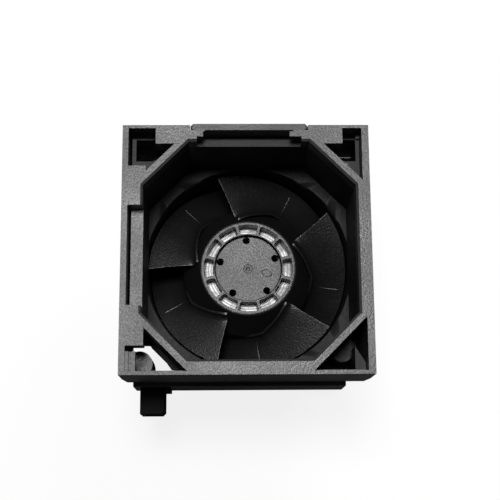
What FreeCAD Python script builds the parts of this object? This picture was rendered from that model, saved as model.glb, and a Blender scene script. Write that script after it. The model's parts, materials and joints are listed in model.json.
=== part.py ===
import FreeCAD, Part
import math
import os
import Sketcher
from FreeCAD import Placement, Rotation, Vector

# Hot-plug server fan module: a 60 mm axial fan behind an octagonal intake shell.
# Frame: origin on the fan axis in the outlet plane, +Z towards the intake,
# +Y towards the pull handle, connector at the bottom (-Y) left (-X). Millimetres.

DIMENSIONS = [
    # fan frame, which the duct, the shell and the bracket are built around
    ("fan_width", 60.0), ("fan_depth", 38.0), ("flange_depth", 3.5), ("frame_corner", 3.0),
    ("bore_rim", 1.1), ("bell_rim", 0.6), ("bell_depth", 4.0), ("tube_wall", 1.1),
    ("hole_inset", 5.0), ("hole_radius", 2.15), ("screw_hole_radius", 1.75),
    ("sink_radius", 3.6), ("sink_depth", 1.9),
    ("corner_clip", 12.0), ("base_radius", 20.2), ("base_thick", 1.5), ("base_rim_wall", 1.4),
    ("base_rim_height", 6.5), ("vane_thick", 3.4), ("vane_top", 12.6), ("vane_bottom", 0.8),
    ("vane_sweep", 13.0), ("vane_root", 0.6), ("seat_radius", 6.4), ("seat_height", 4.0),
    # intake shell: octagonal opening over the fan bore, bars round it, walls behind them
    ("opening_step", 0.55), ("opening_rise", 0.4), ("opening_relief", 3.24),
    ("edge_chamfer", 0.6), ("bar_left", 5.55), ("bar_right", 3.75), ("bar_top", 4.46),
    ("bar_bottom", 3.94), ("bar_step", 0.74), ("shell_depth", 26.0), ("face_depth", 5.2),
    ("wall_left", 1.6), ("wall_right", 1.9), ("wall_top", 0.86), ("wall_bottom", 0.94),
    ("skirt_inset", 0.7), ("skirt_taper", 15.0), ("strut_width", 2.2),
    ("notch_lip", 1.2), ("notch_half_wide", 14.1), ("notch_half_narrow", 11.7),
    ("side_notch_low", 15.2), ("side_notch_high", 11.65), ("window_high_drop", 6.9),
    ("window_low_drop", 3.6), ("window_top_inset", 3.3), ("ledge_width", 2.7),
    ("ledge_height", 5.2), ("ledge_sink", 1.6), ("ledge_thick", 1.4), ("ledge_rib", 0.9),
    ("rib_rise", 1.0), ("strut_block", 2.0), ("block_drop", 6.3),
    # intake duct
    ("seat_gap", 0.1), ("side_gap", 0.6), ("duct_flange", 2.0), ("duct_edge", 0.9),
    ("web_depth", 1.9), ("web_rail", 0.93), ("web_drop", 4.1), ("web_left", 2.25),
    ("web_right", 0.75), ("web_rib", 0.9), ("boss_radius", 3.5), ("boss_length", 12.0),
    ("boss_floor", 2.0), ("pilot_radius", 1.2), ("gusset_width", 2.7), ("gusset_height", 6.1),
    ("gusset_toe", 1.8),
    # pull handle
    ("handle_sink", 1.43), ("handle_width", 31.1), ("handle_thick", 1.76),
    ("handle_gap", 0.35), ("handle_reach", 18.6), ("handle_chamfer", 0.7),
    ("handle_rib", 0.5), ("rib_pitch", 2.0), ("barrel_radius", 1.3), ("barrel_gap", 0.3),
    ("pin_radius", 0.6), ("pin_play", 0.05), ("pin_length", 5.0), ("lug_width", 2.6),
    ("lug_rise", 0.85), ("lug_half_depth", 2.0), ("lug_root", 0.55),
    # bearings and shaft
    ("shaft_radius", 1.5), ("shaft_low", 2.4), ("shaft_sink", 0.2), ("centre_drill", 0.55),
    ("bearing_radius", 4.0), ("bearing_width", 3.0), ("race_wall", 0.9), ("race_gap", 0.05),
    ("lower_bearing_at", 5.2), ("upper_bearing_drop", 17.5), ("sleeve_wall", 1.0),
    ("sleeve_drop", 14.0), ("sleeve_lip", 0.8), ("spring_gap", 0.1), ("spring_wire", 0.6),
    ("ring_thick", 0.4), ("ring_radius", 2.3),
    # motor
    ("core_radius", 14.0), ("core_low", 10.0), ("core_height", 10.0), ("core_ring", 2.2),
    ("pole_neck", 3.0), ("pole_shoe", 1.6), ("slot_angle", 3.6), ("insulator_thick", 0.8),
    ("insulator_inset", 0.4), ("coil_build", 1.6), ("coil_play", 0.2), ("air_gap", 0.4),
    ("magnet_wall", 1.8), ("magnet_low", 9.0), ("magnet_height", 12.0), ("yoke_wall", 1.0),
    ("yoke_low", 8.2), ("yoke_drop", 3.8), ("yoke_face_radius", 14.4), ("shoulder_drop", 8.6),
    ("collar_wall", 1.6), ("collar_gap", 1.2),
    # driver board
    ("board_thick", 1.0), ("board_inset", 1.4), ("board_play", 0.2), ("chip_near", 8.0),
    ("chip_length", 5.0), ("chip_half", 2.2), ("chip_height", 1.0), ("sensor_near", 13.2),
    ("sensor_length", 2.8), ("sensor_half", 1.6), ("sensor_height", 1.4), ("can_centre", 11.5),
    ("can_radius", 1.9), ("can_height", 1.8),
    # impeller
    ("hub_front_radius", 14.0), ("cone_low_drop", 8.0), ("cone_top_drop", 0.6),
    ("cone_gap", 0.15), ("hub_wall", 1.7), ("hub_face", 1.6), ("window_inner", 10.2),
    ("window_outer", 12.6), ("window_angle", 25.6), ("recess_radius", 9.6),
    ("recess_depth", 1.6), ("vent_radius", 1.0), ("vent_circle", 8.3), ("tip_gap", 0.4),
    ("blade_setback", 1.8), ("blade_drop", 18.5), ("blade_wrap", 88.0), ("blade_edge", 0.5),
    ("blade_middle", 1.5), ("blade_root", 0.6), ("blade_start", 102.0),
    # connector bracket and connector
    ("bracket_left", 2.3), ("bracket_right", 2.9), ("bracket_low", 3.74),
    ("bracket_depth", 12.3), ("bracket_wall", 1.2), ("bracket_gap", 0.05), ("lug_across", 0.4),
    ("lug_up", 1.1), ("lug_thick", 2.4), ("plug_inset", 1.9), ("plug_width", 6.8),
    ("plug_reach", 7.5), ("plug_depth", 10.0), ("plug_chamfer", 0.8), ("step_width", 1.6),
    ("step_drop", 1.1), ("cavity_half", 2.2), ("cavity_thick", 1.2), ("cavity_depth", 5.5),
    ("contact_pitch", 2.05), ("contact_width", 0.9), ("contact_thick", 0.5),
    ("contact_inset", 1.2),
    # fasteners
    ("screw_radius", 1.5), ("screw_head_radius", 2.6), ("screw_head", 1.7),
    ("screw_grip", 8.0), ("washer_radius", 3.3), ("washer_thick", 0.5),
]

doc = FreeCAD.newDocument("server_fan_module")
sheet = doc.addObject("Spreadsheet::Sheet", "Size")
sheet.Label = "Size"
for line, (alias, number) in enumerate(DIMENSIONS, start=1):
    sheet.set(f"A{line}", alias)
    sheet.set(f"B{line}", str(number))
    sheet.setAlias(f"B{line}", alias)
doc.recompute()

PARTS = []


def value(expression):
    """Number that a sheet expression gives."""
    return float(sheet.evalExpression(expression))


def new_body(label):
    """Empty PartDesign body, listed for export under its label."""
    body = doc.addObject("PartDesign::Body", label + "_body")
    body.Label = label
    PARTS.append(body)
    return body


def origin_item(body, role):
    """Origin plane or axis of a body by its role."""
    return next(item for item in body.Origin.OriginFeatures if item.Role == role)


def new_sketch(body, plane, height="0", turn="0"):
    """Sketch on an origin plane, lifted along its normal or turned about the fan axis."""
    sketch = body.newObject("Sketcher::SketchObject", body.Label + "_sketch")
    sketch.AttachmentSupport = [(origin_item(body, plane), "")]
    sketch.MapMode = "FlatFace"
    if turn != "0":
        sketch.AttachmentOffset = Placement(Vector(), Rotation(Vector(0, 1, 0), value(turn)))
        sketch.setExpression("AttachmentOffset.Rotation.Angle", turn)
    if height != "0":
        sketch.setExpression("AttachmentOffset.Base.z", height)
    return sketch


def bind(sketch, kind, index, position, expression):
    """Driving distance from the sketch origin to a point of one element."""
    number = sketch.addConstraint(
        Sketcher.Constraint(kind, -1, 1, index, position, value(expression)))
    sketch.setExpression(f"Constraints[{number}]", expression)


def outline(sketch, corners):
    """Closed outline of straight edges through corners given as sheet expressions."""
    points = [Vector(value(across), value(up), 0) for across, up in corners]
    first = sketch.GeometryCount
    for start, end in zip(points, points[1:] + points[:1]):
        sketch.addGeometry(Part.LineSegment(start, end), False)
    count = len(points)
    for index in range(count):
        following = first + (index + 1) % count
        sketch.addConstraint(Sketcher.Constraint("Coincident", first + index, 2, following, 1))
    for index, (across, up) in enumerate(corners):
        bind(sketch, "DistanceX", first + index, 1, across)
        bind(sketch, "DistanceY", first + index, 1, up)
    return sketch


def rectangle(sketch, left, right, low, high):
    """Rectangle between four sheet expressions."""
    return outline(sketch, [(left, low), (right, low), (right, high), (left, high)])


def circle(sketch, across, up, radius):
    """Circle about a point given as sheet expressions."""
    index = sketch.addGeometry(
        Part.Circle(Vector(value(across), value(up), 0), Vector(0, 0, 1), value(radius)), False)
    bind(sketch, "DistanceX", index, 3, across)
    bind(sketch, "DistanceY", index, 3, up)
    number = sketch.addConstraint(Sketcher.Constraint("Radius", index, value(radius)))
    sketch.setExpression(f"Constraints[{number}]", radius)
    return sketch


def feature(body, kind, sketch):
    """PartDesign feature of a kind on a sketch."""
    made = body.newObject("PartDesign::" + kind, body.Label + "_" + kind.lower())
    made.Profile = sketch
    body.Tip = made
    return made


def pad(body, sketch, length):
    """Pad along the sketch normal."""
    made = feature(body, "Pad", sketch)
    made.setExpression("Length", length)
    return made


def pocket(body, sketch, length, along_normal=True):
    """Pocket; along_normal cuts on the side that the sketch normal points to."""
    made = feature(body, "Pocket", sketch)
    made.Reversed = along_normal
    made.setExpression("Length", length)
    return made


def pocket_across(body, sketch, length):
    """Pocket that cuts to both sides of the sketch plane."""
    made = feature(body, "Pocket", sketch)
    made.SideType = "Symmetric"
    made.setExpression("Length", length)
    return made


def revolve(body, sketch, kind="Revolution", angle="360"):
    """Revolution or groove about the fan axis."""
    made = feature(body, kind, sketch)
    made.ReferenceAxis = (sketch, ["V_Axis"])
    made.setExpression("Angle", angle)
    return made


def polar(body, original, count):
    """Polar pattern about the fan axis."""
    made = body.newObject("PartDesign::PolarPattern", body.Label + "_pattern")
    made.Originals = [original]
    made.Axis = (origin_item(body, "Z_Axis"), [""])
    made.Angle = 360
    made.Occurrences = count
    body.Tip = made
    return made


def turned(label, *outlines):
    """Body turned about the fan axis from closed radius and height outlines."""
    body = new_body(label)
    for corners in outlines:
        revolve(body, outline(new_sketch(body, "XZ_Plane"), corners))
    return body


def ring(label, inner, outer, low, high):
    """Plain ring about the fan axis."""
    return turned(label, [(inner, low), (outer, low), (outer, high), (inner, high)])


def compound_of(label, solids, placement=None):
    """One node that holds equal separate solids."""
    node = doc.addObject("Part::Feature", label)
    node.Label = label
    node.Shape = Part.makeCompound(solids)
    if placement is not None:
        node.Placement = placement
    PARTS.append(node)
    return node


# Levels and edges that several pieces share.
ROOT_TWO = "1.41421"
FAN_HALF = "(Size.fan_width / 2)"
FAN_FRONT = "Size.fan_depth"
BORE_RADIUS = f"({FAN_HALF} - Size.bore_rim)"
HOLE_AT = f"({FAN_HALF} - Size.hole_inset)"
OPEN_X = f"({BORE_RADIUS} - Size.opening_step)"
OPEN_Y = f"({BORE_RADIUS} + Size.opening_rise)"
OPEN_SUM = f"(({BORE_RADIUS} + Size.opening_relief) * {ROOT_TWO})"
STRUT_SUM = f"({OPEN_SUM} + Size.strut_width * {ROOT_TWO})"
FACE_FRONT = "(Size.fan_depth + Size.shell_depth)"
FACE_BACK = f"({FACE_FRONT} - Size.face_depth)"
OUT_LEFT = f"(-{OPEN_X} - Size.bar_left)"
OUT_RIGHT = f"({OPEN_X} + Size.bar_right)"
OUT_TOP = f"({OPEN_Y} + Size.bar_top)"
OUT_LOW = f"(-{OPEN_Y} - Size.bar_bottom)"
IN_LEFT = f"({OUT_LEFT} + Size.wall_left)"
IN_RIGHT = f"({OUT_RIGHT} - Size.wall_right)"
IN_TOP = f"({OUT_TOP} - Size.wall_top)"
IN_LOW = f"({OUT_LOW} + Size.wall_bottom)"
SKIRT_LOW = f"({IN_LOW} + Size.skirt_inset)"
HANDLE_FLOOR = f"({OUT_TOP} - Size.handle_sink)"
PIN_Y = f"({HANDLE_FLOOR} + Size.barrel_radius + Size.barrel_gap)"
PIN_Z = f"({FACE_FRONT} - Size.handle_reach)"
COLLAR_RADIUS = "(Size.shaft_radius + Size.collar_wall)"
SLEEVE_OUTER = "(Size.bearing_radius + Size.sleeve_wall)"
SLEEVE_TOP = f"({FAN_FRONT} - Size.sleeve_drop)"
UPPER_BEARING = f"({FAN_FRONT} - Size.upper_bearing_drop)"
CORE_TOP = "(Size.core_low + Size.core_height)"
MAGNET_OUTER = "(Size.core_radius + Size.air_gap + Size.magnet_wall)"
YOKE_OUTER = f"({MAGNET_OUTER} + Size.yoke_wall)"
YOKE_TOP = f"({FAN_FRONT} - Size.yoke_drop)"
YOKE_SHOULDER = f"({FAN_FRONT} - Size.shoulder_drop)"
HUB_RADIUS = f"({YOKE_OUTER} + Size.hub_wall)"
CONE_LOW = f"({FAN_FRONT} - Size.cone_low_drop)"
CONE_TOP = f"({FAN_FRONT} - Size.cone_top_drop)"
BOARD_RADIUS = "(Size.base_radius - Size.base_rim_wall - Size.board_inset)"
DISC_TOP = f"({FAN_FRONT} - Size.recess_depth)"
DISC_LOW = f"({DISC_TOP} - Size.hub_face)"
BRACKET_LEFT = f"(-{FAN_HALF} - Size.bracket_left)"
BRACKET_LOW = f"(-{FAN_HALF} - Size.bracket_low)"
LUG_X = f"(Size.lug_across - {FAN_HALF})"
LUG_Y = f"(Size.lug_up - {FAN_HALF})"


def octagon(grow="0"):
    """Corners of the intake opening, grown outwards by an expression."""
    half_width = f"({OPEN_X} + {grow})"
    half_height = f"({OPEN_Y} + {grow})"
    flat_x = f"({OPEN_SUM} + {grow} * {ROOT_TWO} - {half_height})"
    flat_y = f"({OPEN_SUM} + {grow} * {ROOT_TWO} - {half_width})"
    return [
        (half_width, f"-{flat_y}"), (half_width, flat_y), (flat_x, half_height),
        (f"-{flat_x}", half_height), (f"-{half_width}", flat_y), (f"-{half_width}", f"-{flat_y}"),
        (f"-{flat_x}", f"-{half_height}"), (flat_x, f"-{half_height}"),
    ]


def block(body, left, right, low, high, level, height):
    """Rectangular rib or ledge that rises from a level."""
    sketch = rectangle(new_sketch(body, "XY_Plane", level), left, right, low, high)
    return pad(body, sketch, height)


def make_intake_bezel():
    """Outer shell: face bars with the octagonal opening, corner windows and finger notches."""
    body = new_body("intake_bezel")
    block(body, OUT_LEFT, OUT_RIGHT, OUT_LOW, OUT_TOP, FAN_FRONT, "Size.shell_depth")
    draft = outline(new_sketch(body, "YZ_Plane"), [
        (f"{OUT_LOW} - 1", f"{FAN_FRONT} - 1"), (f"{OUT_LOW} + Size.skirt_inset", f"{FAN_FRONT} - 1"),
        (f"{OUT_LOW} + Size.skirt_inset", FAN_FRONT), (OUT_LOW, f"{FAN_FRONT} + Size.skirt_taper"),
        (f"{OUT_LOW} - 1", f"{FAN_FRONT} + Size.skirt_taper")])
    pocket_across(body, draft, "Size.fan_width * 3")
    hollow = rectangle(
        new_sketch(body, "XY_Plane", FAN_FRONT), IN_LEFT, IN_RIGHT, SKIRT_LOW, IN_TOP)
    pocket(body, hollow, "Size.shell_depth - Size.face_depth")
    opening = outline(new_sketch(body, "XY_Plane", FACE_BACK), octagon())
    pocket(body, opening, "Size.face_depth")
    make_corner_windows(body)
    make_notches(body)
    make_edge_chamfer(body)
    make_corner_ribs(body)
    make_handle_seat(body)
    boss = circle(new_sketch(body, "XY_Plane", FAN_FRONT), LUG_X, LUG_Y, "Size.boss_radius")
    pad(body, boss, "Size.boss_length")
    pilot = circle(new_sketch(body, "XY_Plane", FAN_FRONT), LUG_X, LUG_Y, "Size.pilot_radius")
    pocket(body, pilot, "Size.boss_length - Size.boss_floor")


def make_corner_windows(body):
    """Four open corners of the face outside the diagonal struts."""
    bar_y = f"({OPEN_Y} - Size.bar_step)"
    bar_x = f"({OPEN_X} - Size.bar_step)"
    side_high = f"({OPEN_Y} - Size.window_high_drop)"
    side_low = f"(Size.window_low_drop - {OPEN_Y})"
    top_reach = f"({OPEN_X} - Size.window_top_inset)"
    block_x = f"({OPEN_X} - Size.strut_block)"
    block_y = f"({OPEN_Y} - Size.block_drop)"
    upper_left = [
        (IN_LEFT, IN_TOP), (IN_LEFT, side_high), (f"-{bar_x}", side_high),
        (f"-{bar_x}", f"{STRUT_SUM} - {bar_x}"), (f"{bar_y} - {STRUT_SUM}", bar_y),
        (f"-{top_reach}", bar_y), (f"-{top_reach}", IN_TOP)]
    upper_right = [
        (IN_RIGHT, IN_TOP), (top_reach, IN_TOP), (top_reach, bar_y),
        (f"{STRUT_SUM} - {bar_y}", bar_y), (f"{STRUT_SUM} - {block_y}", block_y),
        (block_x, block_y), (block_x, f"{STRUT_SUM} - {block_x}"),
        (IN_RIGHT, f"{STRUT_SUM} - {IN_RIGHT}")]
    lower_left = [
        (IN_LEFT, IN_LOW), (f"-{STRUT_SUM} - {IN_LOW}", IN_LOW),
        (f"-{bar_x}", f"{bar_x} - {STRUT_SUM}"), (f"-{bar_x}", side_low), (IN_LEFT, side_low)]
    lower_right = [
        (IN_RIGHT, IN_LOW), (IN_RIGHT, f"{IN_RIGHT} - {STRUT_SUM}"), (f"{STRUT_SUM} + {IN_LOW}", IN_LOW)]
    for corners in (upper_left, upper_right, lower_left, lower_right):
        pocket(body, outline(new_sketch(body, "XY_Plane", FACE_BACK), corners), "Size.face_depth")


def make_notches(body):
    """Finger recess under the handle bar and grip notch in the left bar."""
    lip = f"({OPEN_Y} + Size.notch_lip)"
    inside = f"({OPEN_Y} - 1)"
    finger = [
        ("-Size.notch_half_wide", inside), ("Size.notch_half_wide", inside),
        ("Size.notch_half_wide", lip), ("Size.notch_half_narrow", HANDLE_FLOOR),
        ("-Size.notch_half_narrow", HANDLE_FLOOR), ("-Size.notch_half_wide", lip)]
    pocket(body, outline(new_sketch(body, "XY_Plane", FACE_BACK), finger), "Size.face_depth")
    grip = rectangle(new_sketch(body, "XY_Plane", FACE_BACK), IN_LEFT, f"1 - {OPEN_X}",
                     "-Size.side_notch_low", "Size.side_notch_high")
    pocket(body, grip, "Size.face_depth")


def make_edge_chamfer(body):
    """Bevel round the front edge of the octagonal opening."""
    wide = outline(new_sketch(body, "XY_Plane", FACE_FRONT), octagon("Size.edge_chamfer"))
    plain = outline(
        new_sketch(body, "XY_Plane", f"{FACE_FRONT} - Size.edge_chamfer"), octagon())
    loft(body, [wide, plain], "SubtractiveLoft")


def make_corner_ribs(body):
    """Ribbed guide ledge and locating rib in the lower left corner window."""
    ledge_right = f"({IN_LEFT} + Size.ledge_width)"
    ledge_top = f"({IN_LOW} + Size.ledge_height)"
    ledge_front = f"({FACE_FRONT} - Size.ledge_sink)"
    ledge_back = f"({ledge_front} - Size.ledge_thick)"
    block(body, f"{IN_LEFT} - Size.ledge_rib", ledge_right, f"{IN_LOW} - Size.ledge_rib / 2",
          ledge_top, ledge_back, "Size.ledge_thick")
    for left in (IN_LEFT, f"({ledge_right} - Size.ledge_rib)"):
        block(body, left, f"{left} + Size.ledge_rib", IN_LOW, ledge_top, ledge_front,
              "Size.rib_rise")
    rib = f"({ledge_right} + Size.ledge_rib * 1.5)"
    block(body, rib, f"{rib} + Size.ledge_rib", f"{IN_LOW} - Size.ledge_rib / 2",
          f"{IN_LOW} + Size.rib_rise", ledge_back, "Size.ledge_thick")


def make_handle_seat(body):
    """Slot in the top wall for the folding handle, and the lugs that hold its pins."""
    half_slot = "(Size.handle_width / 2 + Size.handle_gap)"
    slot = rectangle(new_sketch(body, "XZ_Plane", "0"), f"-{half_slot}", half_slot,
                     f"{PIN_Z} - Size.barrel_radius - Size.handle_gap", f"{FACE_FRONT} + 1")
    slot.setExpression("AttachmentOffset.Base.z", f"-{HANDLE_FLOOR}")
    pocket(body, slot, "Size.handle_sink + 1", along_normal=False)
    for side in ("-1", "1"):
        inner = f"{side} * {half_slot}"
        lug = outline(new_sketch(body, "YZ_Plane", inner), [
            (f"{IN_TOP} - Size.lug_root", f"{PIN_Z} - Size.lug_half_depth"),
            (f"{PIN_Y} + Size.lug_rise", f"{PIN_Z} - Size.lug_half_depth"),
            (f"{PIN_Y} + Size.lug_rise", f"{PIN_Z} + Size.lug_half_depth / 2"),
            (OUT_TOP, f"{PIN_Z} + Size.lug_half_depth * 2"),
            (f"{IN_TOP} - Size.lug_root", f"{PIN_Z} + Size.lug_half_depth * 2")])
        made = pad(body, lug, "Size.lug_width")
        made.Reversed = side == "-1"
        hole = circle(new_sketch(body, "YZ_Plane", inner), PIN_Y, PIN_Z, "Size.pin_radius")
        pocket(body, hole, "Size.lug_width", along_normal=side == "1")


def make_intake_duct():
    """Octagonal tube behind the face, with its fan flange, corner webs and screw bosses."""
    body = new_body("intake_duct")
    front = f"({FACE_BACK} - Size.seat_gap)"
    left = f"({IN_LEFT} + Size.side_gap)"
    right = f"({IN_RIGHT} - Size.seat_gap)"
    low = f"({SKIRT_LOW} + Size.seat_gap)"
    high = f"({HANDLE_FLOOR} - Size.seat_gap)"
    walls = [
        (right, f"{right} - {STRUT_SUM}"), (right, f"{STRUT_SUM} - {right}"),
        (f"{STRUT_SUM} - {high}", high), (f"{high} - {STRUT_SUM}", high),
        (left, f"{STRUT_SUM} + {left}"), (left, f"-{left} - {STRUT_SUM}"),
        (f"-{low} - {STRUT_SUM}", low), (f"{STRUT_SUM} + {low}", low)]
    pad(body, outline(new_sketch(body, "XY_Plane", FAN_FRONT), walls), f"{front} - {FAN_FRONT}")
    clip = f"({FAN_HALF} * 2 - Size.corner_clip)"
    flange = [
        (left, f"-{left} - {clip}"), (f"-{low} - {clip}", low), (right, low),
        (right, high), (left, high)]
    pad(body, outline(new_sketch(body, "XY_Plane", FAN_FRONT), flange), "Size.duct_flange")
    gusset_left = f"({right} - Size.gusset_width)"
    gusset = [
        (gusset_left, low), (right, low), (right, f"{low} + Size.gusset_toe"),
        (gusset_left, f"{low} + Size.gusset_height")]
    pad(body, outline(new_sketch(body, "XY_Plane", FAN_FRONT), gusset), f"{front} - {FAN_FRONT}")
    for across, up in FAN_HOLES:
        boss = circle(new_sketch(body, "XY_Plane", FAN_FRONT), across, up, "Size.boss_radius")
        pad(body, boss, "Size.boss_length")
    make_webs(body, front, left, right, high)
    inside = outline(new_sketch(body, "XY_Plane", FAN_FRONT), octagon("Size.seat_gap"))
    pocket(body, inside, "Size.shell_depth")
    for across, up in FAN_HOLES:
        pilot = circle(new_sketch(body, "XY_Plane", FAN_FRONT), across, up, "Size.pilot_radius")
        pocket(body, pilot, "Size.boss_length - Size.boss_floor")
    rim = [edge_at(body, Vector(0, value(high), value(front)))]
    add_fillet(body, rim, "Size.duct_edge")


def make_webs(body, front, left, right, high):
    """Upper corner webs with their windows, and the rib on the right one."""
    web_low = f"({front} - Size.web_depth)"
    window_low = f"({OPEN_Y} - Size.web_drop)"
    window_high = f"({high} - Size.web_rail)"
    for edge, side, reach in ((left, "-", "Size.web_left"), (right, "", "Size.web_right")):
        web = [(edge, high), (edge, f"{STRUT_SUM} - {side}({edge})"),
               (f"{side}({STRUT_SUM} - {high})", high)]
        pad(body, outline(new_sketch(body, "XY_Plane", web_low), web), "Size.web_depth")
        window = [
            (f"{side}({OPEN_X} + {reach})", window_low), (f"{side}({OPEN_X} + {reach})", window_high),
            (f"{side}({STRUT_SUM} - {window_high})", window_high),
            (f"{side}({STRUT_SUM} - {window_low})", window_low)]
        pocket(body, outline(new_sketch(body, "XY_Plane", web_low), window), "Size.web_depth")
    block(body, f"{right} - Size.web_rib", right, window_high, high, front, "Size.rib_rise")


def edge_at(body, point):
    """Name of the edge of a body's newest feature that is nearest to a point."""
    doc.recompute()
    target = Part.Vertex(point)
    edges = body.Tip.Shape.Edges
    nearest = min(range(len(edges)), key=lambda index: edges[index].distToShape(target)[0])
    return f"Edge{nearest + 1}"


def add_fillet(body, edges, radius, kind="Fillet"):
    """Fillet or chamfer on named edges of the newest feature."""
    base = body.Tip
    made = body.newObject("PartDesign::" + kind, body.Label + "_" + kind.lower())
    made.Base = (base, edges)
    made.setExpression("Radius" if kind == "Fillet" else "Size", radius)
    body.Tip = made
    return made


def make_pull_handle():
    """Folding pull handle: a flat bar with a hinge barrel along its rear edge."""
    body = new_body("pull_handle")
    half = "(Size.handle_width / 2)"
    top = f"({HANDLE_FLOOR} + Size.handle_thick)"
    plate = outline(new_sketch(body, "XY_Plane", PIN_Z), [
        (f"Size.handle_chamfer - {half}", HANDLE_FLOOR), (f"{half} - Size.handle_chamfer", HANDLE_FLOOR),
        (half, f"{HANDLE_FLOOR} + Size.handle_chamfer"), (half, f"{top} - Size.handle_chamfer"),
        (f"{half} - Size.handle_chamfer", top), (f"Size.handle_chamfer - {half}", top),
        (f"-{half}", f"{top} - Size.handle_chamfer"), (f"-{half}", f"{HANDLE_FLOOR} + Size.handle_chamfer")])
    pad(body, plate, "Size.handle_reach")
    barrel = circle(new_sketch(body, "YZ_Plane"), PIN_Y, PIN_Z, "Size.barrel_radius")
    made = pad(body, barrel, "Size.handle_width")
    made.SideType = "Symmetric"
    for index in range(3):
        level = f"{FACE_FRONT} - Size.rib_pitch * {index + 1}"
        rib = rectangle(new_sketch(body, "XZ_Plane"), "-Size.notch_half_narrow",
                        "Size.notch_half_narrow", level, f"{level} + Size.handle_rib")
        rib.setExpression("AttachmentOffset.Base.z", f"-{top} - Size.handle_rib")
        pad(body, rib, "Size.handle_rib")
    for side in ("-1", "1"):
        bore = circle(new_sketch(body, "YZ_Plane", f"{side} * {half}"), PIN_Y, PIN_Z,
                      "Size.pin_radius + Size.pin_play")
        pocket(body, bore, "Size.pin_length - Size.lug_width", along_normal=side == "-1")


def make_handle_pins():
    """Two short hinge pins pressed into the lugs of the shell."""
    half_slot = value("Size.handle_width / 2 + Size.handle_gap")
    outer = half_slot + value("Size.lug_width")
    length = value("Size.pin_length - Size.pin_play")
    pins = []
    for start in (-outer, outer - length):
        base = Vector(start, value(PIN_Y), value(PIN_Z))
        pins.append(Part.makeCylinder(value("Size.pin_radius"), length, base, Vector(1, 0, 0)))
    compound_of("handle_pins", pins)


def make_fan_frame():
    """Fan frame: square flanges, venturi tube, swept stator vanes and the motor base."""
    body = new_body("fan_frame")
    clip = f"(Size.corner_clip - {FAN_HALF})"
    flange = [
        (FAN_HALF, f"-{FAN_HALF}"), (FAN_HALF, FAN_HALF), (f"-{FAN_HALF}", FAN_HALF),
        (f"-{FAN_HALF}", clip), (clip, f"-{FAN_HALF}")]
    tube_radius = f"({BORE_RADIUS} + Size.tube_wall)"
    bell_radius = f"({FAN_HALF} - Size.bell_rim)"
    front_flange = f"{FAN_FRONT} - Size.flange_depth"
    pad(body, outline(new_sketch(body, "XY_Plane"), flange), "Size.flange_depth")
    revolve(body, rectangle(
        new_sketch(body, "XZ_Plane"), f"{tube_radius} - 2", tube_radius, "0", FAN_FRONT))
    pad(body, outline(new_sketch(body, "XY_Plane", front_flange), flange), "Size.flange_depth")
    for across, up in ((FAN_HALF, f"-{FAN_HALF}"), (FAN_HALF, FAN_HALF), (f"-{FAN_HALF}", FAN_HALF)):
        for level in ("Size.flange_depth / 2", f"{FAN_FRONT} - Size.flange_depth / 2"):
            corner = Vector(value(across), value(up), value(level))
            add_fillet(body, [edge_at(body, corner)], "Size.frame_corner")
    revolve(body, outline(new_sketch(body, "XZ_Plane"), [
        ("0", "0"), (BORE_RADIUS, "0"), (BORE_RADIUS, f"{FAN_FRONT} - Size.bell_depth"),
        (bell_radius, FAN_FRONT), ("0", FAN_FRONT)]), "Groove")
    for across, up in FAN_HOLES:
        hole = circle(new_sketch(body, "XY_Plane"), across, up, "Size.hole_radius")
        pocket(body, hole, "Size.flange_depth")
        hole = new_sketch(body, "XY_Plane", front_flange)
        circle(hole, across, up, "Size.screw_hole_radius")
        pocket(body, hole, "Size.flange_depth")
        sink = circle(new_sketch(body, "XY_Plane", front_flange), across, up, "Size.sink_radius")
        pocket(body, sink, "Size.sink_depth")
    rim_inner = "(Size.base_radius - Size.base_rim_wall)"
    base = outline(new_sketch(body, "XZ_Plane"), [
        ("0", "0"), ("Size.base_radius", "0"), ("Size.base_radius", "Size.base_rim_height"),
        (rim_inner, "Size.base_rim_height"), (rim_inner, "Size.base_thick"),
        ("Size.seat_radius", "Size.base_thick"), ("Size.seat_radius", "Size.seat_height"),
        (SLEEVE_OUTER, "Size.seat_height"), (SLEEVE_OUTER, "Size.base_thick"),
        ("0", "Size.base_thick")])
    polar(body, vane_loft(body), VANE_COUNT)
    revolve(body, base)


def radial_section(body, angle, root, tip, level, thick):
    """Four-sided blade section in the half plane at an angle about the fan axis."""
    sketch = new_sketch(body, "XZ_Plane", turn=angle)
    low = f"({level}) - ({thick})"
    return outline(sketch, [(root, low), (tip, low), (tip, level), (root, level)])


def loft(body, sections, kind="AdditiveLoft"):
    """Loft through sections in order."""
    made = feature(body, kind, sections[0])
    made.Sections = sections[1:]
    return made


def vane_loft(body):
    """One swept stator vane from the motor base to the tube."""
    steps = 3
    sections = []
    for index in range(steps):
        share = index / (steps - 1)
        level = f"Size.vane_top + (Size.vane_bottom + Size.vane_thick - Size.vane_top) * {share}"
        sections.append(radial_section(
            body, f"Size.vane_sweep * {share}", "Size.base_radius - Size.vane_root",
            f"{BORE_RADIUS} + Size.tube_wall / 2", level, "Size.vane_thick"))
    return loft(body, sections)


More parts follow.
